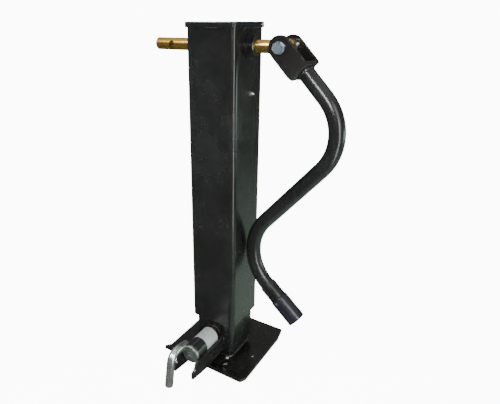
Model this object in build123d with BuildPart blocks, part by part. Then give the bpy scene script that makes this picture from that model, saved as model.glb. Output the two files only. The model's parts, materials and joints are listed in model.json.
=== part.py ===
from build123d import *
from math import atan2, cos, pi, radians, sin, sqrt, tan
import os

# Trailer tongue jack: square side-wind jack with a drop leg, fully retracted.
# Frame: origin under the centre of the foot plate, +Z up the leg.
# +X runs along the crank shaft towards the handle, -Y is the plunger side.
# All lengths are millimetres.

# Fits shared by the moving and pressed parts
RUN_FIT = 0.05
PIN_FIT = 0.02
SIDE_GAP = 0.3
END_SHY = 0.2
CUT_OVER = 1.0

# Body tubes (half widths across the flats)
OUTER_HALF = 40.0
OUTER_WALL = 4.8
OUTER_CORNER = 8.0
OUTER_BOTTOM = 73.5
OUTER_TOP = 540.0
RIM_Z = 535.2
RIM_HALF = 39.6
RAM_HALF = 35.0
RAM_WALL = 4.5
RAM_CORNER = 7.0
RAM_BOTTOM = 20.0
RAM_TOP = 446.0
LEG_HALF = 30.0
LEG_WALL = 5.0
LEG_CORNER = 5.0
LEG_LENGTH = 400.0
CORNER_MIN = 2.5

# Top cap
CAP_HALF = 42.2
CAP_CORNER = 7.5
CAP_TOP = 543.0
CAP_LIP = 7.6
CAP_FIT = 0.2
CAP_EDGE = 1.6

# Crank shaft
SHAFT_Z = 511.5
SHAFT_R = 9.0
SHAFT_LEFT = -121.5
BOLT_X = 95.0
SHAFT_TAIL = 11.5
SHAFT_CHAMFER = 2.0
CROSS_HOLE_X = -89.5
CROSS_HOLE_R = 5.06
BOLT_HOLE_R = 4.06

# Shaft bushes
BUSH_R = 13.0
BUSH_FLANGE_R = 17.0
BUSH_FLANGE_T = 3.0
BUSH_SNOUT = 12.0
BUSH_CHAMFER = 1.0
BUSH_PROUD = 0.6

# Bevel gears: 12 tooth pinion, 24 tooth gear, axes crossing at the shaft
PINION_TEETH = 12
GEAR_TEETH = 24
PINION_PITCH_R = 16.0
GEAR_PITCH_R = 32.0
TOOTH_ADD = 1.5
TOOTH_DED = 2.1
TOOTH_ROOT_SHARE = 0.26
TOOTH_TIP_SHARE = 0.12
FACE_RATIO = 0.72
GEAR_TRIM_R = 33.4
GEAR_HUB_R = 16.0
PINION_HUB_R = 11.2
PINION_HUB_IN = 11.0
PINION_BACK_R = 14.0
PINION_PIN_R = 2.0
PINION_PIN_X = 17.0
GEAR_PIN_R = 2.5

# Rings that keep the shaft from sliding: snap ring outside, stop ring inside
SNAP_RING_X = -42.9
SNAP_RING_T = 1.2
SNAP_RING_GAP = 5.0
SNAP_RING_R = 10.6
SNAP_GROOVE_R = 8.2
STOP_RING_R = 11.2
STOP_RING_IN = -27.0
GRUB_R = 2.0

# Lead screw, its bearing and nut
SCREW_R = 12.5
SCREW_ROOT_R = 10.8
SCREW_BOTTOM = 125.0
THREAD_PITCH = 6.0
THREAD_FLAT = 2.4
JOURNAL_R = 9.5
COLLAR_R = 15.0
COLLAR_BOTTOM = 450.0
COLLAR_TOP = 456.0
RACE_T = 3.5
BALL_R = 3.0
SCREW_TOP_GAP = 3.0
BALL_RING_R = 16.0
BALL_COUNT = 12
RACE_OUT_R = 21.0
RACE_IN_R = 9.7
PLATE_T = 8.0
NUT_HEIGHT = 26.0

# Grease fitting
ZERK_Z = 446.5
ZERK_Y = 3.0
ZERK_HEX = 6.4
ZERK_HEX_T = 2.6
ZERK_SHANK_R = 2.6
ZERK_NECK_R = 1.5
ZERK_NECK_T = 2.2
ZERK_BALL_R = 2.1

# Foot plate: flat middle, front and back edges turned up
FOOT_HALF = 76.0
FOOT_T = 5.0
FOOT_FLAT_HALF = 57.5
FOOT_LIP_ANGLE = 27.0
FOOT_CORNER = 3.0

# Drop leg pin holes
PIN_Z = 48.5
HOLE_PITCH = 50.0
HOLE_COUNT = 7
LEG_HOLE_R = 7.6

# Spring plunger: neck on the ram, pull cap sliding over it
PIN_R = 7.0
PIN_TIP = -30.9
PIN_CHAMFER = 2.0
NECK_R = 11.0
NECK_BORE = 9.2
NECK_END = -72.0
NECK_WASHER_T = 3.0
PULL_CAP_R = 14.7
PULL_CAP_BORE = 11.4
PULL_CAP_IN = -44.0
PULL_CAP_OUT = -103.0
DISC_T = 4.0
DISC_HOLE_R = 5.0
DISC_EDGE = 1.0
LABEL_IN = -46.0
LABEL_OUT = -76.0
LABEL_T = 0.3
SPRING_COLLAR_R = 8.9
SPRING_COLLAR_IN = -46.0
SPRING_COLLAR_OUT = -50.0
FOLLOWER_T = 1.6
SPRING_WIRE_R = 0.8
SPRING_R = 8.15
SPRING_TURNS = 5

# Pull rod
ROD_R = 6.5
ROD_X = -14.0
ROD_PATH = [(-94.0, 56.5), (-130.5, 65.0), (-140.5, 9.0)]
ROD_BEND_R = 17.0
ROD_END_EDGE = 1.5

# Guard plates beside the plunger
GUARD_IN = 15.3
GUARD_OUT = 19.3
GUARD_TOP = 45.5
GUARD_FOOT = [(-RAM_HALF, 22.0), (-84.0, 18.0), (-121.5, 22.6), (-121.5, 33.3)]
GUARD_HOOK = (-114.3, 38.0)
GUARD_FRONT = -112.0

# Crank handle in the XZ plane
YOKE_ANGLE = -46.5
YOKE_HALF_V = 15.5
YOKE_OUT = 22.0
YOKE_T = 5.0
YOKE_WEB = 42.0
YOKE_BEND = 8.0
TUBE_R = 11.5
TUBE_BORE = 9.0
TUBE_FIRST_CORNER = 150.3
TUBE_CORNERS = [(22.3, 200.1), (132.0, 103.5)]
TUBE_BENDS = [73.0, 76.5]
GRIP_COLLAR_SPAN = (1.0, 27.6)
GRIP_COLLAR_R = 13.0
GRIP_SPAN = (28.0, 71.5)
GRIP_R = 14.2
GRIP_EDGE = 1.2
GRIP_FIT = 0.08
GROOVE_SPAN = (30.0, 35.0)
GROOVE_R = 10.3
RIVET_S = 32.5
RIVET_R = 1.9
RIVET_IN = 10.5
RIVET_OUT = 14.5

# Yoke bolt
BOLT_R = 4.0
BOLT_CHAMFER = 1.0
BOLT_TAIL = 3.0
BOLT_HEAD_AF = 13.0
BOLT_HEAD_H = 5.5
WASHER_R = 8.0
WASHER_T = 1.6
NUT_H = 6.8
SPACER_R = 9.0

ALONG_SHAFT = Plane(origin=(0, 0, SHAFT_Z), x_dir=(0, 1, 0), z_dir=(1, 0, 0))
ALONG_PLUNGER = Plane(origin=(0, 0, PIN_Z), x_dir=(1, 0, 0), z_dir=(0, -1, 0))

os.makedirs("parts", exist_ok=True)


def save(part, name):
    part.label = name
    export_step(part, f"parts/{name}.step")


def square_tube(half, wall, corner, bottom, top):
    """Square hollow section with rounded corners, standing along Z."""
    with BuildPart() as tube:
        with BuildSketch(Plane.XY.offset(bottom)):
            RectangleRounded(2 * half, 2 * half, corner)
            bore = half - wall
            bore_corner = max(corner - wall, CORNER_MIN)
            RectangleRounded(2 * bore, 2 * bore, bore_corner, mode=Mode.SUBTRACT)
        extrude(amount=top - bottom)
    return tube.part


def disc_along(plane, start, end, radius, bore=0.0):
    """Round bar or ring on a plane's axis, from start to end along its normal."""
    with BuildPart() as ring:
        with BuildSketch(plane.offset(start)):
            Circle(radius)
            if bore > 0:
                Circle(bore, mode=Mode.SUBTRACT)
        extrude(amount=end - start)
    return ring.part


def gear_outline(teeth, root, tip, phase):
    """Corner points of a straight flanked gear, first tooth at the phase angle."""
    pitch = 2 * pi / teeth
    root_half = pitch * TOOTH_ROOT_SHARE
    tip_half = pitch * TOOTH_TIP_SHARE
    corners = []
    for tooth in range(teeth):
        centre = phase + tooth * pitch
        for radius, offset in ((root, -root_half), (tip, -tip_half), (tip, tip_half), (root, root_half)):
            angle = centre + offset
            corners.append((radius * cos(angle), radius * sin(angle)))
    return corners


def bevel_teeth(apex, teeth, pitch_radius, mate_radius, phase=0.0):
    """Toothed frustum whose flanks all run to the apex of the plane given."""
    cone = sqrt(pitch_radius ** 2 + mate_radius ** 2)
    pitch_angle = atan2(pitch_radius, mate_radius)
    tip = mate_radius * tan(pitch_angle + atan2(TOOTH_ADD, cone))
    root = mate_radius * tan(pitch_angle - atan2(TOOTH_DED, cone))
    with BuildPart() as gear:
        for share in (1.0, FACE_RATIO):
            with BuildSketch(apex.offset(-mate_radius * share)):
                with BuildLine():
                    Polyline(*gear_outline(teeth, root * share, tip * share, phase), close=True)
                make_face()
        loft(ruled=True)
    return gear.part


# ---- Outer tube ----
WALL_INSIDE = OUTER_HALF - OUTER_WALL
FITTING = Plane(origin=(OUTER_HALF, ZERK_Y, ZERK_Z), x_dir=(0, 1, 0), z_dir=(1, 0, 0))
outer_blank = square_tube(OUTER_HALF, OUTER_WALL, OUTER_CORNER, OUTER_BOTTOM, OUTER_TOP)
with BuildPart() as outer_tube:
    add(outer_blank)
    with BuildSketch(Plane.XY.offset(RIM_Z)):
        Rectangle(2 * OUTER_HALF + CUT_OVER, 2 * OUTER_HALF + CUT_OVER)
        RectangleRounded(2 * RIM_HALF, 2 * RIM_HALF, OUTER_CORNER, mode=Mode.SUBTRACT)
    extrude(amount=OUTER_TOP - RIM_Z, mode=Mode.SUBTRACT)
    with BuildSketch(ALONG_SHAFT):
        Circle(BUSH_R)
    extrude(amount=OUTER_HALF, both=True, mode=Mode.SUBTRACT)
    with BuildSketch(FITTING):
        Circle(ZERK_SHANK_R)
    extrude(amount=-OUTER_WALL, mode=Mode.SUBTRACT)
save(outer_tube.part, "outer_tube")

# ---- Top cap, a shallow pan over the tube's end ----
with BuildPart() as top_cap:
    with BuildSketch(Plane.XY.offset(CAP_TOP - CAP_LIP)):
        RectangleRounded(2 * CAP_HALF, 2 * CAP_HALF, CAP_CORNER)
    extrude(amount=CAP_LIP)
    fillet(top_cap.faces().sort_by(Axis.Z)[-1].edges(), CAP_EDGE)
    with BuildSketch(Plane.XY.offset(CAP_TOP - CAP_LIP)):
        seat = 2 * (RIM_HALF + CAP_FIT)
        RectangleRounded(seat, seat, OUTER_CORNER)
    extrude(amount=OUTER_TOP - CAP_TOP + CAP_LIP, mode=Mode.SUBTRACT)
save(top_cap.part, "top_cap")

# ---- Shaft bushes: flanged with a snout at the handle, flush at the far side ----
with BuildPart() as bush_handle_side:
    with BuildSketch(ALONG_SHAFT.offset(WALL_INSIDE)):
        Circle(BUSH_R)
    extrude(amount=OUTER_WALL + BUSH_SNOUT)
    with BuildSketch(ALONG_SHAFT.offset(OUTER_HALF)):
        Circle(BUSH_FLANGE_R)
    extrude(amount=BUSH_FLANGE_T)
    chamfer(bush_handle_side.faces().sort_by(Axis.X)[-1].edges(), BUSH_CHAMFER)
    with BuildSketch(ALONG_SHAFT.offset(WALL_INSIDE)):
        Circle(SHAFT_R + RUN_FIT)
    extrude(amount=OUTER_WALL + BUSH_SNOUT, mode=Mode.SUBTRACT)
save(bush_handle_side.part, "bush_handle_side")
far_side = disc_along(ALONG_SHAFT, -OUTER_HALF - BUSH_PROUD, -WALL_INSIDE, BUSH_R, SHAFT_R + RUN_FIT)
save(far_side, "bush_far_side")

# ---- Grease fitting: shank, hexagon and ball nose ----
with BuildPart() as grease_fitting:
    with BuildSketch(FITTING.offset(-OUTER_WALL)):
        Circle(ZERK_SHANK_R)
    extrude(amount=OUTER_WALL)
    with BuildSketch(FITTING):
        RegularPolygon(ZERK_HEX / 2, 6, major_radius=False)
    extrude(amount=ZERK_HEX_T)
    with BuildSketch(FITTING.offset(ZERK_HEX_T)):
        Circle(ZERK_NECK_R)
    extrude(amount=ZERK_NECK_T)
    with Locations(FITTING.offset(ZERK_HEX_T + ZERK_NECK_T)):
        Sphere(ZERK_BALL_R)
save(grease_fitting.part, "grease_fitting")

# ---- Bearing plate, with the thrust bearing between it and the screw collar ----
BALL_Z = COLLAR_TOP + RACE_T + BALL_R
PLATE_BOTTOM = BALL_Z + BALL_R + RACE_T
PLATE_TOP = PLATE_BOTTOM + PLATE_T
with BuildPart() as bearing_plate:
    with BuildSketch(Plane.XY.offset(PLATE_BOTTOM)):
        RectangleRounded(2 * WALL_INSIDE, 2 * WALL_INSIDE, OUTER_CORNER - OUTER_WALL)
        Circle(JOURNAL_R + RUN_FIT, mode=Mode.SUBTRACT)
    extrude(amount=PLATE_T)
save(bearing_plate.part, "bearing_plate")
upper_race = disc_along(Plane.XY, PLATE_BOTTOM - RACE_T, PLATE_BOTTOM, RACE_OUT_R, RACE_IN_R)
save(upper_race, "thrust_race_upper")
save(disc_along(Plane.XY, COLLAR_TOP, COLLAR_TOP + RACE_T, RACE_OUT_R, RACE_IN_R), "thrust_race_lower")
with BuildPart() as thrust_balls:
    with Locations(Plane.XY.offset(BALL_Z)):
        with PolarLocations(BALL_RING_R, BALL_COUNT):
            Sphere(BALL_R - RUN_FIT)
save(thrust_balls.part, "thrust_balls")

# ---- Crank shaft, cross drilled near both ends and for the pinion pin ----
with BuildPart() as crank_shaft:
    with BuildSketch(ALONG_SHAFT.offset(SHAFT_LEFT)):
        Circle(SHAFT_R)
    extrude(amount=BOLT_X + SHAFT_TAIL - SHAFT_LEFT)
    chamfer(crank_shaft.edges().filter_by(GeomType.CIRCLE), SHAFT_CHAMFER)
    with BuildSketch(Plane(origin=(0, 0, SHAFT_Z), x_dir=(1, 0, 0), z_dir=(0, -1, 0))):
        with Locations((CROSS_HOLE_X, 0)):
            Circle(CROSS_HOLE_R)
        with Locations((BOLT_X, 0)):
            Circle(BOLT_HOLE_R)
        with Locations((PINION_PIN_X, 0)):
            Circle(PINION_PIN_R)
    extrude(amount=2 * SHAFT_R, both=True, mode=Mode.SUBTRACT)
    with BuildSketch(ALONG_SHAFT.offset(SNAP_RING_X)):
        Circle(SHAFT_R + CUT_OVER)
        Circle(SNAP_GROOVE_R, mode=Mode.SUBTRACT)
    extrude(amount=SNAP_RING_T + PIN_FIT, mode=Mode.SUBTRACT)
save(crank_shaft.part, "crank_shaft")

# ---- Retaining ring snapped into the shaft's groove outside the far bush ----
with BuildPart() as retaining_ring:
    with BuildSketch(ALONG_SHAFT.offset(SNAP_RING_X)):
        Circle(SNAP_RING_R)
        Circle(SNAP_GROOVE_R + PIN_FIT, mode=Mode.SUBTRACT)
        with Locations((SNAP_RING_R, 0)):
            Rectangle(SNAP_RING_R, SNAP_RING_GAP, mode=Mode.SUBTRACT)
    extrude(amount=SNAP_RING_T)
save(retaining_ring.part, "retaining_ring")

# ---- Stop ring on the shaft, with its grub screw ----
STOP_RING_OUT = -WALL_INSIDE + SIDE_GAP
RING_TAP = Plane(origin=((STOP_RING_OUT + STOP_RING_IN) / 2, 0, SHAFT_Z), z_dir=(0, 0, 1))
with BuildPart() as stop_ring:
    with BuildSketch(ALONG_SHAFT.offset(STOP_RING_OUT)):
        Circle(STOP_RING_R)
        Circle(SHAFT_R + PIN_FIT, mode=Mode.SUBTRACT)
    extrude(amount=STOP_RING_IN - STOP_RING_OUT)
    with BuildSketch(RING_TAP):
        Circle(GRUB_R)
    extrude(amount=2 * STOP_RING_R, mode=Mode.SUBTRACT)
save(stop_ring.part, "stop_ring")
grub = disc_along(RING_TAP, SHAFT_R + PIN_FIT, STOP_RING_R - END_SHY, GRUB_R - PIN_FIT)
save(grub, "stop_ring_screw")

# ---- Bevel pinion on the crank shaft, teeth towards the screw axis ----
PINION_APEX = Plane(origin=(0, 0, SHAFT_Z), x_dir=(0, 0, -1), z_dir=(-1, 0, 0))
PINION_CROSS = Plane(origin=(PINION_PIN_X, 0, SHAFT_Z), x_dir=(1, 0, 0), z_dir=(0, -1, 0))
HALF_TOOTH = pi / PINION_TEETH
pinion_blank = bevel_teeth(PINION_APEX, PINION_TEETH, PINION_PITCH_R, GEAR_PITCH_R, HALF_TOOTH)
with BuildPart() as bevel_pinion:
    add(pinion_blank)
    with BuildSketch(ALONG_SHAFT.offset(GEAR_PITCH_R)):
        Circle(PINION_BACK_R)
    extrude(amount=WALL_INSIDE - SIDE_GAP - GEAR_PITCH_R)
    with BuildSketch(ALONG_SHAFT.offset(PINION_HUB_IN)):
        Circle(PINION_HUB_R)
    extrude(amount=GEAR_PITCH_R - PINION_HUB_IN)
    with BuildSketch(ALONG_SHAFT):
        Circle(SHAFT_R + PIN_FIT)
    extrude(amount=OUTER_HALF, mode=Mode.SUBTRACT)
    with BuildSketch(PINION_CROSS):
        Circle(PINION_PIN_R)
    extrude(amount=2 * PINION_HUB_R, both=True, mode=Mode.SUBTRACT)
save(bevel_pinion.part, "bevel_pinion")
pinion_pin_end = PINION_HUB_R - END_SHY
pinion_pin = disc_along(PINION_CROSS, -pinion_pin_end, pinion_pin_end, PINION_PIN_R - PIN_FIT)
save(pinion_pin, "pinion_pin")

# ---- Bevel gear on the top of the screw ----
GEAR_BACK_Z = SHAFT_Z - PINION_PITCH_R
GEAR_PIN_Z = (PLATE_TOP + GEAR_BACK_Z) / 2
GEAR_CROSS = Plane(origin=(0, 0, GEAR_PIN_Z), x_dir=(0, 1, 0), z_dir=(1, 0, 0))
gear_blank = bevel_teeth(Plane.XY.offset(SHAFT_Z), GEAR_TEETH, GEAR_PITCH_R, PINION_PITCH_R)
with BuildPart() as bevel_gear:
    add(gear_blank)
    with BuildSketch(Plane.XY.offset(GEAR_BACK_Z)):
        Circle(GEAR_TRIM_R)
    extrude(amount=PINION_PITCH_R, mode=Mode.INTERSECT)
    with BuildSketch(Plane.XY.offset(PLATE_TOP + SIDE_GAP)):
        Circle(GEAR_HUB_R)
    extrude(amount=GEAR_BACK_Z - PLATE_TOP - SIDE_GAP)
    with BuildSketch(Plane.XY.offset(PLATE_TOP)):
        Circle(JOURNAL_R + PIN_FIT)
    extrude(amount=SHAFT_Z - PLATE_TOP, mode=Mode.SUBTRACT)
    with BuildSketch(GEAR_CROSS):
        Circle(GEAR_PIN_R)
    extrude(amount=2 * GEAR_HUB_R, both=True, mode=Mode.SUBTRACT)
save(bevel_gear.part, "bevel_gear")
gear_pin_end = GEAR_HUB_R - END_SHY
save(disc_along(GEAR_CROSS, -gear_pin_end, gear_pin_end, GEAR_PIN_R - PIN_FIT), "gear_pin")

# ---- Lead screw: journal, thrust collar and a ring grooved thread ----
SCREW_TOP = SHAFT_Z - SHAFT_R - SCREW_TOP_GAP
thread = []
crest = COLLAR_BOTTOM - THREAD_PITCH
while crest > SCREW_BOTTOM + THREAD_PITCH:
    slope = (THREAD_PITCH - 2 * THREAD_FLAT) / 2
    for drop, radius in ((0, SCREW_R), (slope, SCREW_ROOT_R), (slope + THREAD_FLAT, SCREW_ROOT_R)):
        thread.append((radius, crest - drop))
    thread.append((SCREW_R, crest - THREAD_PITCH + THREAD_FLAT))
    crest -= THREAD_PITCH
with BuildPart() as lead_screw:
    with BuildSketch(Plane.XZ):
        with BuildLine():
            Polyline(
                (0, SCREW_TOP), (JOURNAL_R, SCREW_TOP), (JOURNAL_R, COLLAR_TOP), (COLLAR_R, COLLAR_TOP),
                (COLLAR_R, COLLAR_BOTTOM), (SCREW_R, COLLAR_BOTTOM), *thread,
                (SCREW_ROOT_R, SCREW_BOTTOM), (0, SCREW_BOTTOM), close=True,
            )
        make_face()
    revolve(axis=Axis.Z)
    with BuildSketch(GEAR_CROSS):
        Circle(GEAR_PIN_R)
    extrude(amount=2 * JOURNAL_R, both=True, mode=Mode.SUBTRACT)
save(lead_screw.part, "lead_screw")

# ---- Ram: inner tube with the screw nut welded in its top ----
ram_blank = square_tube(RAM_HALF, RAM_WALL, RAM_CORNER, RAM_BOTTOM, RAM_TOP)
with BuildPart() as inner_tube:
    add(ram_blank)
    with BuildSketch(ALONG_PLUNGER):
        Circle(PIN_R + RUN_FIT)
    extrude(amount=RAM_HALF, mode=Mode.SUBTRACT)
save(inner_tube.part, "inner_tube")
nut_side = 2 * (RAM_HALF - RAM_WALL)
with BuildPart() as screw_nut:
    with BuildSketch(Plane.XY.offset(RAM_TOP - NUT_HEIGHT)):
        RectangleRounded(nut_side, nut_side, CORNER_MIN)
        Circle(SCREW_R + RUN_FIT, mode=Mode.SUBTRACT)
    extrude(amount=NUT_HEIGHT)
save(screw_nut.part, "screw_nut")

# ---- Plunger neck, its end washer and the spring inside it ----
save(disc_along(ALONG_PLUNGER, RAM_HALF, -NECK_END, NECK_R, NECK_BORE), "plunger_neck")
WASHER_IN = -NECK_END - NECK_WASHER_T
save(disc_along(ALONG_PLUNGER, WASHER_IN, -NECK_END, NECK_BORE, PIN_R + RUN_FIT), "neck_washer")
FOLLOWER_OUT = -SPRING_COLLAR_OUT + FOLLOWER_T
SPRING_LENGTH = WASHER_IN - FOLLOWER_OUT - 2 * SPRING_WIRE_R - 2 * RUN_FIT
with BuildPart() as plunger_spring:
    with BuildLine() as coil:
        Helix(
            SPRING_LENGTH / SPRING_TURNS, SPRING_LENGTH, SPRING_R,
            center=(0, -FOLLOWER_OUT - SPRING_WIRE_R - RUN_FIT, PIN_Z), direction=(0, -1, 0),
        )
    with BuildSketch(Plane(origin=coil.line @ 0, z_dir=coil.line % 0)):
        Circle(SPRING_WIRE_R)
    sweep(is_frenet=True)
save(plunger_spring.part, "plunger_spring")

# ---- Guard plates either side of the plunger, hooked at the front ----
for side, start in (("right", GUARD_IN), ("left", -GUARD_OUT)):
    with BuildPart() as guard:
        with BuildSketch(Plane.YZ.offset(start)):
            with BuildLine():
                Polyline(*GUARD_FOOT)
                ThreePointArc(GUARD_FOOT[-1], GUARD_HOOK, (GUARD_FRONT, GUARD_TOP))
                Polyline((GUARD_FRONT, GUARD_TOP), (-RAM_HALF, GUARD_TOP), GUARD_FOOT[0])
            make_face()
        extrude(amount=GUARD_OUT - GUARD_IN)
    save(guard.part, f"guard_plate_{side}")

# ---- Drop leg with its row of pin holes ----
leg_blank = square_tube(LEG_HALF, LEG_WALL, LEG_CORNER, FOOT_T, FOOT_T + LEG_LENGTH)
with BuildPart() as drop_leg:
    add(leg_blank)
    with BuildSketch(ALONG_PLUNGER):
        with Locations(*[(0, step * HOLE_PITCH) for step in range(HOLE_COUNT)]):
            Circle(LEG_HOLE_R)
    extrude(amount=2 * LEG_HALF, both=True, mode=Mode.SUBTRACT)
save(drop_leg.part, "drop_leg")

# ---- Foot plate: bent strip, front and back edges turned up ----
lip = radians(FOOT_LIP_ANGLE)
lip_z = (FOOT_HALF - FOOT_FLAT_HALF) * tan(lip)
underside = [(-FOOT_HALF, lip_z), (-FOOT_FLAT_HALF, 0), (FOOT_FLAT_HALF, 0), (FOOT_HALF, lip_z)]
top_corner = (FOOT_HALF - FOOT_T * sin(lip), lip_z + FOOT_T * cos(lip))
top_bend = (FOOT_FLAT_HALF - FOOT_T * tan(lip / 2), FOOT_T)
top_side = [top_corner, top_bend, (-top_bend[0], top_bend[1]), (-top_corner[0], top_corner[1])]
with BuildPart() as foot_plate:
    with BuildSketch(Plane.YZ.offset(-FOOT_HALF)):
        with BuildLine():
            Polyline(*underside, *top_side, close=True)
        make_face()
    extrude(amount=2 * FOOT_HALF)
    with BuildSketch():
        RectangleRounded(2 * FOOT_HALF, 2 * FOOT_HALF, FOOT_CORNER)
    extrude(amount=FOOT_HALF, mode=Mode.INTERSECT)
save(foot_plate.part, "foot_plate")

# ---- Plunger: follower washer, pin, spring collar ----
follower = disc_along(
    ALONG_PLUNGER, RUN_FIT - SPRING_COLLAR_OUT, FOLLOWER_OUT, SPRING_COLLAR_R, PIN_R + RUN_FIT
)
save(follower, "spring_follower")
with BuildPart() as plunger_pin:
    with BuildSketch(ALONG_PLUNGER.offset(-PIN_TIP)):
        Circle(PIN_R)
    extrude(amount=PIN_TIP - PULL_CAP_OUT - DISC_T)
    chamfer(plunger_pin.edges().sort_by(Axis.Y)[-1], PIN_CHAMFER)
    with BuildSketch(ALONG_PLUNGER.offset(-PULL_CAP_OUT - DISC_T)):
        Circle(DISC_HOLE_R)
    extrude(amount=DISC_T)
save(plunger_pin.part, "plunger_pin")
spring_collar = disc_along(
    ALONG_PLUNGER, -SPRING_COLLAR_IN, -SPRING_COLLAR_OUT, SPRING_COLLAR_R, PIN_R + PIN_FIT
)
save(spring_collar, "spring_collar")

# ---- Pull cap sliding over the neck, closed by a disc, with a blank label ----
save(disc_along(ALONG_PLUNGER, -PULL_CAP_IN, -PULL_CAP_OUT - DISC_T, PULL_CAP_R, PULL_CAP_BORE), "pull_cap")
with BuildPart() as cap_disc:
    with BuildSketch(ALONG_PLUNGER.offset(-PULL_CAP_OUT - DISC_T)):
        Circle(PULL_CAP_R)
    extrude(amount=DISC_T)
    fillet(cap_disc.faces().sort_by(Axis.Y)[0].edges(), DISC_EDGE)
    with BuildSketch(ALONG_PLUNGER.offset(-PULL_CAP_OUT - DISC_T)):
        Circle(DISC_HOLE_R + PIN_FIT)
    extrude(amount=DISC_T, mode=Mode.SUBTRACT)
save(cap_disc.part, "cap_disc")
save(disc_along(ALONG_PLUNGER, -LABEL_IN, -LABEL_OUT, PULL_CAP_R + LABEL_T, PULL_CAP_R), "cap_label")

# ---- Pull rod, welded along the cap and bent down ----
with BuildPart() as pull_rod:
    with BuildLine(Plane.YZ.offset(ROD_X)) as rod_line:
        FilletPolyline(*ROD_PATH, radius=ROD_BEND_R)
    with BuildSketch(Plane(origin=rod_line.line @ 0, z_dir=rod_line.line % 0)):
        Circle(ROD_R)
    sweep()
    fillet(pull_rod.faces().sort_by(Axis.Z)[0].edges(), ROD_END_EDGE)
    with BuildSketch(ALONG_PLUNGER.offset(-PULL_CAP_IN)):
        Circle(PULL_CAP_R)
    extrude(amount=PULL_CAP_IN - PULL_CAP_OUT, mode=Mode.SUBTRACT)
save(pull_rod.part, "pull_rod")

# ---- Handle yoke: a bent U whose ears pivot on the bolt ----
yoke_x = cos(radians(YOKE_ANGLE))
yoke_z = sin(radians(YOKE_ANGLE))
EAR_IN = YOKE_OUT - YOKE_T
WEB_IN = YOKE_WEB - YOKE_T
BOLT_PLANE = Plane(origin=(BOLT_X, 0, SHAFT_Z), x_dir=(yoke_x, 0, yoke_z), z_dir=(0, -1, 0))
U_PLANE = Plane(origin=(BOLT_X, 0, SHAFT_Z), x_dir=(yoke_x, 0, yoke_z), z_dir=(-yoke_z, 0, yoke_x))
EAR_END = -YOKE_HALF_V
outer_bend = [(EAR_END, YOKE_OUT), (YOKE_WEB, YOKE_OUT), (YOKE_WEB, -YOKE_OUT), (EAR_END, -YOKE_OUT)]
inner_bend = [(EAR_END, -EAR_IN), (WEB_IN, -EAR_IN), (WEB_IN, EAR_IN), (EAR_END, EAR_IN)]
with BuildPart() as handle_yoke:
    with BuildSketch(U_PLANE):
        with BuildLine():
            FilletPolyline(*outer_bend, radius=YOKE_BEND)
            Line(outer_bend[-1], inner_bend[0])
            FilletPolyline(*inner_bend, radius=YOKE_BEND - YOKE_T)
            Line(inner_bend[-1], outer_bend[0])
        make_face()
    extrude(amount=YOKE_HALF_V, both=True)
    with BuildSketch(BOLT_PLANE):
        Circle(YOKE_HALF_V)
        with Locations((YOKE_WEB / 2, 0)):
            Rectangle(YOKE_WEB, 2 * YOKE_HALF_V)
    extrude(amount=YOKE_OUT, both=True, mode=Mode.INTERSECT)
    with BuildSketch(BOLT_PLANE):
        Circle(BOLT_R + PIN_FIT)
    extrude(amount=YOKE_OUT, both=True, mode=Mode.SUBTRACT)
save(handle_yoke.part, "handle_yoke")

# ---- Handle tube: S bent in the XZ plane, grooved under the grip ----
tube_start = (BOLT_X + YOKE_WEB * yoke_x, SHAFT_Z + YOKE_WEB * yoke_z)
tube_first = (BOLT_X + TUBE_FIRST_CORNER * yoke_x, SHAFT_Z + TUBE_FIRST_CORNER * yoke_z)
last_dx = TUBE_CORNERS[-1][0] - TUBE_CORNERS[-2][0]
last_dz = TUBE_CORNERS[-1][1] - TUBE_CORNERS[-2][1]
last_length = sqrt(last_dx ** 2 + last_dz ** 2)
grip_dir = (last_dx / last_length, 0, last_dz / last_length)
with BuildPart() as handle_tube:
    with BuildLine(Plane.XZ) as tube_line:
        FilletPolyline(tube_start, tube_first, *TUBE_CORNERS, radius=TUBE_BENDS)
    with BuildSketch(Plane(origin=tube_line.line @ 0, z_dir=tube_line.line % 0)):
        Circle(TUBE_R)
        Circle(TUBE_BORE, mode=Mode.SUBTRACT)
    sweep()
    straight = tube_line.edges().filter_by(GeomType.LINE).sort_by(Axis.Z)[0]
    grip_start = min((straight @ 0, straight @ 1), key=lambda point: point.X)
    GRIP_PLANE = Plane(origin=grip_start, x_dir=(0, 1, 0), z_dir=grip_dir)
    with BuildSketch(GRIP_PLANE.offset(GROOVE_SPAN[0])):
        Circle(TUBE_R + CUT_OVER)
        Circle(GROOVE_R, mode=Mode.SUBTRACT)
    extrude(amount=GROOVE_SPAN[1] - GROOVE_SPAN[0], mode=Mode.SUBTRACT)
save(handle_tube.part, "handle_tube")

# ---- Grip: fixed collar, turning sleeve and the rivet that rides in the groove ----
GRIP_BORE = TUBE_R + GRIP_FIT
collar_start, collar_end = GRIP_COLLAR_SPAN
save(disc_along(GRIP_PLANE, collar_start, collar_end, GRIP_COLLAR_R, GRIP_BORE), "grip_collar")
grip_from, grip_to = GRIP_SPAN
RIVET_PLANE = Plane(origin=GRIP_PLANE.offset(RIVET_S).origin, x_dir=grip_dir, z_dir=(0, -1, 0))
with BuildPart() as handle_grip:
    with BuildSketch(GRIP_PLANE.offset(grip_from)):
        Circle(GRIP_R)
    extrude(amount=grip_to - grip_from)
    fillet(handle_grip.edges().filter_by(GeomType.CIRCLE), GRIP_EDGE)
    with BuildSketch(GRIP_PLANE.offset(grip_from)):
        Circle(GRIP_BORE)
    extrude(amount=grip_to - grip_from, mode=Mode.SUBTRACT)
    with BuildSketch(RIVET_PLANE):
        Circle(RIVET_R)
    extrude(amount=GRIP_R + CUT_OVER, mode=Mode.SUBTRACT)
save(handle_grip.part, "handle_grip")
save(disc_along(RIVET_PLANE, RIVET_IN, RIVET_OUT, RIVET_R - PIN_FIT), "grip_rivet")

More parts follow.
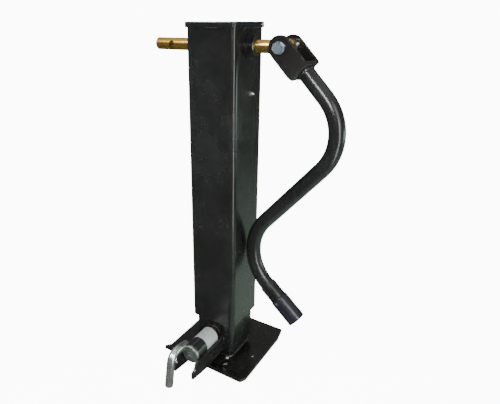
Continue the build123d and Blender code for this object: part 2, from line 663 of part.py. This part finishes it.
# ---- Yoke bolt with washers, spacers and nut ----
HEAD_FACE = YOKE_OUT + WASHER_T
with BuildPart() as yoke_bolt:
    with BuildSketch(BOLT_PLANE.offset(-HEAD_FACE - NUT_H - BOLT_TAIL)):
        Circle(BOLT_R)
    extrude(amount=2 * HEAD_FACE + NUT_H + BOLT_TAIL)
    chamfer(yoke_bolt.edges().sort_by(Axis.Y)[-1], BOLT_CHAMFER)
    with BuildSketch(BOLT_PLANE.offset(HEAD_FACE)):
        RegularPolygon(BOLT_HEAD_AF / 2, 6, major_radius=False)
    extrude(amount=BOLT_HEAD_H)
save(yoke_bolt.part, "yoke_bolt")
with BuildPart() as bolt_nut:
    with BuildSketch(BOLT_PLANE.offset(-HEAD_FACE - NUT_H)):
        RegularPolygon(BOLT_HEAD_AF / 2, 6, major_radius=False)
        Circle(BOLT_R + PIN_FIT, mode=Mode.SUBTRACT)
    extrude(amount=NUT_H)
save(bolt_nut.part, "bolt_nut")
for name, start, end, radius in (
    ("bolt_washers", YOKE_OUT, HEAD_FACE, WASHER_R),
    ("bolt_spacers", SHAFT_R + RUN_FIT, EAR_IN - RUN_FIT, SPACER_R),
):
    with BuildPart() as pair:
        for first in (start, -end):
            with BuildSketch(BOLT_PLANE.offset(first)):
                Circle(radius)
                Circle(BOLT_R + PIN_FIT, mode=Mode.SUBTRACT)
            extrude(amount=end - start)
    save(pair.part, name)
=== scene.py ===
import json
from math import cos, pi, radians, sin

import bmesh
import bpy
from mathutils import Matrix, Vector, noise


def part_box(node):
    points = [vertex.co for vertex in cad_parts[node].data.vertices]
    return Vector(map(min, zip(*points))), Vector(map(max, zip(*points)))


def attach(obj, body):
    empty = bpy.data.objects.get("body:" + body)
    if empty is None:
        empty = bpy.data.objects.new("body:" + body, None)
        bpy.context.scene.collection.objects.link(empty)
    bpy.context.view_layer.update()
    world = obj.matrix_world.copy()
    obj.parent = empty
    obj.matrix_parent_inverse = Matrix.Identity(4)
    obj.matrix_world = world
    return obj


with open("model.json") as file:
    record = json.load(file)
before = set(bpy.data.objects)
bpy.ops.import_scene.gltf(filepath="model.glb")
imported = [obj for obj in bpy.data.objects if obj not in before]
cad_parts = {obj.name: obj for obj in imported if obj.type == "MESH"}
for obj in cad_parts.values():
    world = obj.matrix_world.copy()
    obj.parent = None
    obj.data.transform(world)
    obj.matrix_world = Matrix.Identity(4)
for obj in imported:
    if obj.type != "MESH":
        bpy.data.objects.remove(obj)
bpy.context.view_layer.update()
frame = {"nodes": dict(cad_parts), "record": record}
nodes = frame["nodes"]
MM = 0.001

# Weld beads: spacing of the rings they are built from, and length of one ripple
RING_STEP = 0.45 * MM
RIPPLE = 2.6 * MM
BEAD_SIDES = 12
WELD_FOOT_R = 2.9 * MM
WELD_R = 1.9 * MM
WELD_NECK_R = 1.35 * MM
WELD_SEAM_R = 1.3 * MM
LEG_CORNER = 4 * MM
TACK_FRONT = 29 * MM
TACK_BACK = 36 * MM
SEAM_PLACE = 14 * MM
SEAM_HALF = 6 * MM

# Spatter round the leg: (x, y, radius) in millimetres of the drops that missed the paint; they are bare
# metal, and their pale grey tone is also a painted glint
BARE_GLINT_SPOTS = [(61, -8, 1.7), (26, -34, 3.0), (33, -47, 2.4), (30, -50, 1.5)]
SMALL_SPOTS = 22
GOLDEN_TURN = 2.399963

# Yoke: its lean from the shaft, and bolt to the outside of its web
YOKE_ANGLE = radians(-46.5)
YOKE_WEB = 42 * MM

# Stage: the floor glows white to the camera and softly on the object
FLOOR_Z = -0.6
FLOOR_FLAT = 3.0
FLOOR_BEND = 1.2
BEND_STEPS = 16
WALL_TOP = 3.0
FLOOR_SIDES = 64
FLOOR_GLOW = 1.0
FLOOR_WHITE = 9.0
CARD_NEAR = 0.95
CARD_FAR = 0.18
SKY_LOW = 0.1
SKY_HIGH = 0.9

# Camera
CAMERA_PLACE = (0.3603, -0.5677, 0.5434)
CAMERA_YAW = radians(32.45)
CAMERA_PITCH = radians(19.76)
CAMERA_LENS = 32.8
CAMERA_SHIFT = (0.0506, -0.0344)


# ---- Node helpers ----
class Graph:
    """One material's node tree, with short calls for the nodes used here."""

    def __init__(self, name):
        self.material = bpy.data.materials.new(name)
        self.material.use_nodes = True
        self.tree = self.material.node_tree
        self.shader = self.tree.nodes["Principled BSDF"]
        self.place = self.add("ShaderNodeTexCoord").outputs["Object"]

    def add(self, kind, **settings):
        node = self.tree.nodes.new(kind)
        for key, value in settings.items():
            setattr(node, key, value)
        return node

    def link(self, source, target):
        if isinstance(source, (int, float, tuple)):
            target.default_value = source
        else:
            self.tree.links.new(source, target)

    def noise(self, scale, detail=4.0, roughness=0.55, stretch=(1, 1, 1)):
        mapping = self.add("ShaderNodeMapping")
        mapping.inputs["Scale"].default_value = stretch
        self.link(self.place, mapping.inputs["Vector"])
        texture = self.add("ShaderNodeTexNoise")
        texture.inputs["Scale"].default_value = scale
        texture.inputs["Detail"].default_value = detail
        texture.inputs["Roughness"].default_value = roughness
        self.link(mapping.outputs["Vector"], texture.inputs["Vector"])
        return texture.outputs["Fac"]

    def ramp(self, source, low, high, start=0.0, end=1.0):
        """Maps source from low..high to start..end, clamped."""
        node = self.add("ShaderNodeMapRange", clamp=True)
        self.link(source, node.inputs["Value"])
        for key, value in (("From Min", low), ("From Max", high), ("To Min", start), ("To Max", end)):
            self.link(value, node.inputs[key])
        return node.outputs["Result"]

    def math(self, operation, first, second=0.0):
        node = self.add("ShaderNodeMath", operation=operation, use_clamp=True)
        self.link(first, node.inputs[0])
        self.link(second, node.inputs[1])
        return node.outputs["Value"]

    def mix(self, share, first, second):
        node = self.add("ShaderNodeMix", data_type="RGBA")
        self.link(share, node.inputs["Factor"])
        for value, target in ((first, node.inputs[6]), (second, node.inputs[7])):
            self.link((*value, 1.0) if isinstance(value, tuple) else value, target)
        return node.outputs[2]

    def edges(self, radius, low=0.02, high=0.2):
        """1 along sharp edges, 0 on flats, from how far a bevelled normal leans."""
        bevel = self.add("ShaderNodeBevel", samples=6)
        bevel.inputs["Radius"].default_value = radius
        true_normal = self.add("ShaderNodeNewGeometry").outputs["Normal"]
        dot = self.add("ShaderNodeVectorMath", operation="DOT_PRODUCT")
        self.link(bevel.outputs["Normal"], dot.inputs[0])
        self.link(true_normal, dot.inputs[1])
        return self.ramp(self.math("SUBTRACT", 1.0, dot.outputs["Value"]), low, high)

    def bump(self, height, distance, strength=1.0, under=None):
        node = self.add("ShaderNodeBump")
        node.inputs["Strength"].default_value = strength
        node.inputs["Distance"].default_value = distance
        self.link(height, node.inputs["Height"])
        if under is not None:
            self.link(under, node.inputs["Normal"])
        return node.outputs["Normal"]

    def finish(self, colour, roughness, normal=None, metallic=0.0, coat=0.0):
        for value, key in ((colour, "Base Color"), (roughness, "Roughness"), (metallic, "Metallic")):
            if key == "Base Color" and isinstance(value, tuple):
                value = (*value, 1.0)
            self.link(value, self.shader.inputs[key])
        if normal is not None:
            self.link(normal, self.shader.inputs["Normal"])
        if coat:
            self.shader.inputs["Coat Weight"].default_value = coat
            self.shader.inputs["Coat Roughness"].default_value = 0.16
        return self.material


# ---- Materials ----
def black_paint(name, colour, gloss, wear, scuffs, shine=0.42):
    """Sprayed enamel: orange peel, dulled patches, fine scuffs and rubbed edges."""
    g = Graph(name)
    peel = g.bump(g.noise(260.0, 2.0), 0.0001, 0.05)
    runs = g.bump(g.noise(26.0, 2.0, stretch=(1, 1, 0.35)), 0.0009, 0.1, peel)
    patch = g.ramp(g.noise(14.0, 6.0), 0.42, 0.72)
    streak = g.ramp(g.noise(95.0, 8.0, 0.7, (1, 1, 0.12)), 0.56, 0.74, 0.0, scuffs)
    speck = g.ramp(g.noise(900.0, 2.0), 0.68, 0.76, 0.0, scuffs)
    dust = g.math("MAXIMUM", streak, speck)
    tone = g.mix(patch, colour, tuple(channel * 1.6 + 0.001 for channel in colour))
    tone = g.mix(dust, tone, (0.12, 0.12, 0.11))
    rub = g.math("MULTIPLY", g.edges(0.0011), g.ramp(g.noise(130.0, 6.0, 0.7), 0.47, 0.62, 0.0, wear))
    tone = g.mix(rub, tone, (0.13, 0.095, 0.07))
    rough = g.math("ADD", g.ramp(patch, 0.0, 1.0, gloss, gloss + 0.14), g.math("MULTIPLY", dust, 0.35))
    rough = g.math("ADD", rough, g.math("MULTIPLY", rub, 0.3))
    g.shader.inputs["Specular IOR Level"].default_value = shine
    return g.finish(tone, rough, runs, coat=0.08)


def plated(name, light, dark, tint, rough_low, rough_high, grain=(1, 1, 1), mottle=60.0):
    """Zinc plate on turned or drawn steel: mottled tone, drawn grain and small pits."""
    g = Graph(name)
    cloud = g.ramp(g.noise(mottle, 4.0, 0.5), 0.32, 0.7)
    bloom = g.ramp(g.noise(mottle * 0.45, 3.0), 0.5, 0.68)
    tone = g.mix(cloud, light, dark)
    tone = g.mix(g.math("MULTIPLY", bloom, 0.6), tone, tint)
    drawn = g.noise(700.0, 4.0, 0.6, grain)
    pit = g.ramp(g.noise(520.0, 2.0), 0.72, 0.8)
    tone = g.mix(g.math("MULTIPLY", pit, 0.25), tone, tuple(channel * 0.35 for channel in dark))
    normal = g.bump(g.math("ADD", drawn, pit), 0.00001, 0.1)
    rough = g.math("ADD", g.ramp(cloud, 0.0, 1.0, rough_low, rough_high), g.math("MULTIPLY", pit, 0.2))
    return g.finish(tone, rough, normal, metallic=0.96)


def machined(name):
    """Turned steel under a thin film of grease."""
    g = Graph(name)
    film = g.ramp(g.noise(55.0, 6.0), 0.4, 0.65)
    tone = g.mix(film, (0.5, 0.5, 0.49), (0.17, 0.13, 0.08))
    lines = g.noise(1400.0, 2.0, 0.5, (0.1, 0.1, 1.0))
    return g.finish(tone, g.ramp(film, 0.0, 1.0, 0.34, 0.16), g.bump(lines, 0.00008, 0.5), metallic=0.9)


def bead_metal(name):
    """Weld metal painted over: ripples stand in the mesh, scale and missed spots here."""
    g = Graph(name)
    missed = g.ramp(g.noise(150.0, 5.0, 0.65), 0.56, 0.68)
    tone = g.mix(missed, (0.005, 0.005, 0.005), (0.03, 0.022, 0.017))
    normal = g.bump(g.noise(900.0, 3.0), 0.0001, 0.35)
    return g.finish(tone, g.ramp(missed, 0.0, 1.0, 0.12, 0.4), normal, coat=0.4)


def bare_bead(name, light, dark):
    """Weld metal left bare, between the two tones given: heat tint on the beads, and on the spatter a pale
    tone that is partly a painted glint.
    """
    g = Graph(name)
    tone = g.mix(g.ramp(g.noise(210.0, 5.0), 0.35, 0.65), light, dark)
    return g.finish(tone, 0.36, g.bump(g.noise(1500.0, 4.0), 0.0002, 0.6), metallic=0.6)


def blank_label(name):
    """Blank printed-film label: soft sheen, creases and grubby edges, no lettering."""
    g = Graph(name)
    grime = g.ramp(g.noise(120.0, 7.0, 0.7), 0.48, 0.78)
    tone = g.mix(g.math("MULTIPLY", grime, 0.55), (0.18, 0.195, 0.195), (0.1, 0.11, 0.1))
    creases = g.noise(160.0, 2.0, 0.4, (1, 0.3, 1))
    return g.finish(tone, g.ramp(grime, 0.0, 1.0, 0.32, 0.6), g.bump(creases, 0.0004, 0.4))


MATERIALS = {
    "black_paint": black_paint("black_paint", (0.0036, 0.004, 0.0038), 0.2, 0.4, 0.04),
    "foot_paint": black_paint("foot_paint", (0.003, 0.003, 0.0026), 0.18, 0.4, 0.08, 0.2),
    "grip_black": black_paint("grip_black", (0.005, 0.005, 0.008), 0.27, 0.25, 0.05),
    "yellow_zinc": plated(
        "yellow_zinc", (0.62, 0.41, 0.1), (0.36, 0.21, 0.04), (0.36, 0.2, 0.13), 0.2, 0.3, (0.08, 1, 1)
    ),
    "bright_zinc": plated(
        "bright_zinc", (0.62, 0.74, 0.84), (0.5, 0.6, 0.7), (0.55, 0.6, 0.72), 0.2, 0.3, (1, 0.1, 1)
    ),
    "clear_zinc": plated(
        "clear_zinc", (0.72, 0.75, 0.74), (0.44, 0.47, 0.44), (0.5, 0.55, 0.48), 0.15, 0.28, (1, 0.15, 0.15)
    ),
    "bush_bronze": plated(
        "bush_bronze", (0.5, 0.33, 0.15), (0.26, 0.16, 0.07), (0.3, 0.24, 0.12), 0.38, 0.55
    ),
    "machined_steel": machined("machined_steel"),
    "blank_label": blank_label("blank_label"),
}
WELD = bead_metal("painted_weld")
BARE_WELD = bare_bead("bare_weld", (0.62, 0.36, 0.3), (0.24, 0.17, 0.15))
BURNT_WELD = bare_bead("burnt_weld", (0.036, 0.021, 0.012), (0.008, 0.006, 0.005))
# Bare spatter: the pale grey is bare metal and also a painted highlight, so the drops read as glints
BARE_GLINT_SPATTER = bare_bead("spatter", (0.5, 0.5, 0.48), (0.03, 0.03, 0.03))
WORN_PAINT = black_paint("worn_paint", (0.005, 0.0046, 0.0046), 0.15, 0.9, 0.1)
RIM_ZINC = plated("rim_zinc", (0.45, 0.5, 0.46), (0.2, 0.24, 0.21), (0.3, 0.36, 0.32), 0.25, 0.45)
OWN_FINISH = {"handle_yoke": WORN_PAINT, "cap_disc": RIM_ZINC}

for entry in frame["record"]["subparts"]:
    node = nodes[entry["node"]]
    node.data.materials.clear()
    node.data.materials.append(OWN_FINISH.get(entry["node"], MATERIALS[entry["material_slot"]]))


# ---- Weld beads ----
def piece_from(bm, name, body, material):
    mesh = bpy.data.meshes.new(name)
    bm.to_mesh(mesh)
    bm.free()
    for polygon in mesh.polygons:
        polygon.use_smooth = True
    mesh.materials.append(material)
    piece = bpy.data.objects.new(name, mesh)
    bpy.context.scene.collection.objects.link(piece)
    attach(piece, body)
    return piece


def join_rings(bm, here, there):
    """Faces between two rings of the same number of vertices."""
    for k in range(len(here)):
        after = (k + 1) % len(here)
        bm.faces.new((here[k], here[after], there[after], there[k]))


def resample(corners, step, closed):
    """Points a step apart along straight runs between the corners given."""
    points = []
    ends = corners + corners[:1] if closed else corners
    for start, end in zip(ends, ends[1:]):
        count = max(1, round((end - start).length / step))
        points += [start.lerp(end, i / count) for i in range(count)]
    return points if closed else points + [ends[-1]]


def bead(name, body, corners, radius, closed=False, material=WELD):
    """A rippled weld bead along a path, each ripple a coin laid over the last."""
    points = resample([Vector(corner) for corner in corners], RING_STEP, closed)
    count = len(points)
    bm = bmesh.new()
    rings = []
    run = 0.0
    for i, point in enumerate(points):
        before = points[i - 1] if closed or i else points[i]
        after = points[(i + 1) % count] if closed or i + 1 < count else points[i]
        along = (after - before).normalized()
        across = along.cross(Vector((0, 0, 1)) if abs(along.z) < 0.9 else Vector((0, 1, 0))).normalized()
        rise = across.cross(along)
        run += RING_STEP
        ripple = 1.0 - 0.16 * ((run / RIPPLE) % 1.0)
        wander = 1.0 + 0.16 * noise.noise(point * 190.0)
        taper = 1.0 if closed else min(1.0, 0.35 + min(i, count - 1 - i) * 0.14)
        size = radius * ripple * wander * taper
        spin = [2 * pi * k / BEAD_SIDES for k in range(BEAD_SIDES)]
        rings.append([bm.verts.new(point + size * (cos(a) * across + sin(a) * rise)) for a in spin])
    for i in range(count if closed else count - 1):
        join_rings(bm, rings[i], rings[(i + 1) % count])
    if not closed:
        bm.faces.new(rings[0])
        bm.faces.new(rings[-1])
    bmesh.ops.recalc_face_normals(bm, faces=bm.faces)
    return piece_from(bm, name, body, material)


def ring_path(centre, axis, radius, count=40):
    """Points of a full circle about an axis, without the repeated end."""
    axis = Vector(axis).normalized()
    side = axis.orthogonal().normalized()
    up = axis.cross(side)
    angles = [2 * pi * i / count for i in range(count)]
    return [Vector(centre) + radius * (cos(a) * side + sin(a) * up) for a in angles]


# Leg to foot plate, all the way round
leg_low, leg_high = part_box("drop_leg")
leg_half = leg_high[0]
seam = leg_low[2] + 0.6 * MM
leg_ring = []
for turn in range(4):
    spin = Matrix.Rotation(turn * pi / 2, 3, "Z")
    corner = Vector((leg_half - LEG_CORNER, leg_half - LEG_CORNER, seam))
    for step in range(5):
        a = step * pi / 8
        leg_ring.append(spin @ (corner + LEG_CORNER * Vector((cos(a), sin(a), 0))))
bead("weld_leg_foot", "drop_leg", leg_ring, WELD_FOOT_R, closed=True)

# Plunger neck and guard plates to the front of the ram
ram_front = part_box("inner_tube")[0][1]
neck_low, neck_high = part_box("plunger_neck")
guard_low, guard_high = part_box("guard_plate_right")
neck_centre = (0, ram_front - 0.2 * MM, (neck_low[2] + neck_high[2]) / 2)
neck_ring = ring_path(neck_centre, (0, 1, 0), neck_high[0] + 0.6 * MM)
bead("weld_neck", "ram", neck_ring, WELD_NECK_R, closed=True, material=BURNT_WELD)
for side, name in ((-1, "weld_guard_left"), (1, "weld_guard_right")):
    outer = side * (guard_high[0] + 0.5 * MM)
    front = ram_front - 0.5 * MM
    ends = [(outer, front, guard_low[2] + 6 * MM), (outer, front, guard_high[2] - 1 * MM)]
    bead(name, "ram", ends, WELD_R)

# Handle tube to the yoke
bolt_low, bolt_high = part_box("yoke_bolt")
handle_low, handle_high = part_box("handle_tube")
pivot = [(low + high) / 2 for low, high in zip(bolt_low, bolt_high)]
along_yoke = Vector((cos(YOKE_ANGLE), 0, sin(YOKE_ANGLE)))
tube_radius = (handle_high[1] - handle_low[1]) / 2
socket = Vector((pivot[0], 0, pivot[2])) + along_yoke * (YOKE_WEB + 0.7 * MM)
bead("weld_yoke", "handle", ring_path(socket, along_yoke, tube_radius + 0.7 * MM), WELD_R, closed=True)

# Cap to the outer tube: one bare tack at a corner, and four short painted seams under the lip
cap_low, cap_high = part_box("top_cap")
tube_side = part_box("outer_tube")[1][0]
tack_x, tack_z = cap_high[0] - 0.5 * MM, cap_high[2] - 4.2 * MM
tack_ends = [(tack_x, TACK_FRONT, tack_z), (tack_x, TACK_BACK, tack_z + 1 * MM)]
bead("cap_tack", "housing", tack_ends, WELD_R, material=BARE_WELD)
for name, sign_x, sign_y in (
    ("cap_seam_rf", 1, -1),
    ("cap_seam_lf", -1, -1),
    ("cap_seam_lb", -1, 1),
    ("cap_seam_rb", 1, 1),
):
    seam_x = sign_x * (tube_side + 0.2 * MM)
    seam_z = cap_low[2] - 0.2 * MM
    ends = [(seam_x, sign_y * SEAM_PLACE + reach, seam_z) for reach in (-SEAM_HALF, SEAM_HALF)]
    bead(name, "housing", ends, WELD_SEAM_R)


def spatter(name, body, spots, height, material):
    """Small half-sunk beads of weld metal thrown on to a flat plate."""
    bm = bmesh.new()
    for x, y, radius in spots:
        shape = Matrix.Translation((x, y, height)) @ Matrix.Diagonal((1, 1.25, 0.7, 1))
        bmesh.ops.create_uvsphere(bm, u_segments=10, v_segments=6, radius=radius, matrix=shape)
    return piece_from(bm, name, body, material)


spots = []
for i in range(SMALL_SPOTS):
    angle = i * GOLDEN_TURN
    distance = leg_half + (5 + 21 * abs(noise.noise((i * 3.1, 0.4, 0.2)))) * MM
    size = (0.5 + 1.1 * abs(noise.noise((0.3, i * 2.7, 0.9)))) * MM
    spots.append((distance * cos(angle) * 1.15, distance * sin(angle) * 1.15, size))
spatter("weld_spatter", "drop_leg", spots, leg_low[2], WELD)
# The bare drops sit where glints should show; their pale tone paints those glints in
bare_glint_spots = [tuple(value * MM for value in spot) for spot in BARE_GLINT_SPOTS]
spatter("bare_spatter_glints", "drop_leg", bare_glint_spots, leg_low[2], BARE_GLINT_SPATTER)


# ---- Stage, lights and camera ----
def round_floor():
    """A round pale floor that curves up into a backdrop on every side.

    It lies where the foot is when the ram and the drop leg are all the way out.
    """
    profile = [(FLOOR_FLAT * i / 4, 0.0) for i in range(1, 5)]
    for i in range(1, BEND_STEPS + 1):
        a = i / BEND_STEPS * pi / 2
        profile.append((FLOOR_FLAT + FLOOR_BEND * sin(a), FLOOR_BEND - FLOOR_BEND * cos(a)))
    profile.append((FLOOR_FLAT + FLOOR_BEND, WALL_TOP))
    bm = bmesh.new()
    rings = []
    for reach, height in profile:
        spin = [2 * pi * k / FLOOR_SIDES for k in range(FLOOR_SIDES)]
        rings.append([bm.verts.new((reach * cos(a), reach * sin(a), FLOOR_Z + height)) for a in spin])
    bm.faces.new(rings[0])
    for near, far in zip(rings, rings[1:]):
        join_rings(bm, near, far)
    bmesh.ops.recalc_face_normals(bm, faces=bm.faces)
    mesh = bpy.data.meshes.new("floor")
    bm.to_mesh(mesh)
    bm.free()
    for polygon in mesh.polygons:
        polygon.use_smooth = True
    g = Graph("floor")
    g.finish((0.93, 0.93, 0.93), 0.8)
    g.shader.inputs["Emission Color"].default_value = (1, 1, 1, 1)
    seen = g.add("ShaderNodeLightPath").outputs["Is Camera Ray"]
    g.link(g.ramp(seen, 0.0, 1.0, FLOOR_GLOW, FLOOR_WHITE), g.shader.inputs["Emission Strength"])
    mesh.materials.append(g.material)
    floor = bpy.data.objects.new("floor", mesh)
    bpy.context.scene.collection.objects.link(floor)
    floor.visible_glossy = False


def softbox(name, place, target, size, power, colour=(1, 1, 1), glossy=True):
    data = bpy.data.lights.new(name, "AREA")
    data.shape = "RECTANGLE"
    data.size, data.size_y = size
    data.energy = power
    data.color = colour
    light = bpy.data.objects.new(name, data)
    light.location = place
    light.rotation_euler = (Vector(target) - Vector(place)).to_track_quat("-Z", "Y").to_euler()
    light.visible_glossy = glossy
    light.visible_camera = False
    bpy.context.scene.collection.objects.link(light)


def floor_card():
    """Seen only in reflections: a dim green-grey floor beside the handle, brightest near the jack."""
    corners = [(0.07, -0.2, 0.001), (2.2, -0.2, 0.001), (2.2, 2.6, 0.001), (0.07, 2.6, 0.001)]
    mesh = bpy.data.meshes.new("floor_card")
    mesh.from_pydata(corners, [], [(0, 1, 2, 3)])
    g = Graph("floor_card")
    glow = g.add("ShaderNodeEmission")
    glow.inputs["Color"].default_value = (0.62, 0.8, 0.66, 1.0)
    reach = g.add("ShaderNodeVectorMath", operation="LENGTH")
    g.link(g.place, reach.inputs[0])
    g.link(g.ramp(reach.outputs["Value"], 0.25, 1.3, CARD_NEAR, CARD_FAR), glow.inputs["Strength"])
    g.link(glow.outputs["Emission"], g.tree.nodes["Material Output"].inputs["Surface"])
    mesh.materials.append(g.material)
    card = bpy.data.objects.new("floor_card", mesh)
    card.visible_camera = False
    card.visible_diffuse = False
    card.visible_shadow = False
    bpy.context.scene.collection.objects.link(card)


def studio_world():
    """White all round to matt surfaces, but dark low down and pale overhead in reflections."""
    world = bpy.data.worlds.new("studio")
    bpy.context.scene.world = world
    world.use_nodes = True
    tree = world.node_tree
    background = tree.nodes["Background"]
    background.inputs["Color"].default_value = (1, 1, 1, 1)
    path = tree.nodes.new("ShaderNodeLightPath")
    split = tree.nodes.new("ShaderNodeSeparateXYZ")
    place = tree.nodes.new("ShaderNodeTexCoord")
    tree.links.new(place.outputs["Generated"], split.inputs["Vector"])
    sky = tree.nodes.new("ShaderNodeMapRange")
    for key, value in (("From Min", 0.45), ("From Max", 0.85), ("To Min", SKY_LOW), ("To Max", SKY_HIGH)):
        sky.inputs[key].default_value = value
    tree.links.new(split.outputs["Z"], sky.inputs["Value"])
    strength = tree.nodes.new("ShaderNodeMapRange")
    strength.inputs["To Min"].default_value = 1.0
    tree.links.new(path.outputs["Is Glossy Ray"], strength.inputs["Value"])
    tree.links.new(sky.outputs["Result"], strength.inputs["To Max"])
    tree.links.new(strength.outputs["Result"], background.inputs["Strength"])


round_floor()
middle = (0.0, 0.0, 0.28)
softbox("key", (-0.9, -1.5, 1.7), middle, (0.7, 0.7), 42)
softbox("fill", (1.8, -0.9, 1.0), middle, (0.9, 1.2), 16)
softbox("top", (0.2, 0.3, 2.2), middle, (1.6, 1.6), 40, glossy=False)
softbox("flash", (0.33, -0.75, 0.72), middle, (0.07, 0.26), 6.5)
softbox("edge", (0.58, -0.3, 0.22), (0.04, -0.04, 0.22), (0.07, 0.56), 2.2)
softbox("low_side", (1.3, 0.75, 0.12), (0.04, 0, 0.12), (0.9, 0.42), 5.5, (0.8, 1.0, 0.9))
floor_card()
studio_world()

camera_data = bpy.data.cameras.new("camera")
camera_data.sensor_width = 36.0
camera_data.lens = CAMERA_LENS
camera_data.shift_x, camera_data.shift_y = CAMERA_SHIFT
camera_data.dof.use_dof = False
camera = bpy.data.objects.new("camera", camera_data)
camera.location = CAMERA_PLACE
camera.rotation_euler = (pi / 2 - CAMERA_PITCH, 0, CAMERA_YAW)
bpy.context.scene.collection.objects.link(camera)
bpy.context.scene.camera = camera
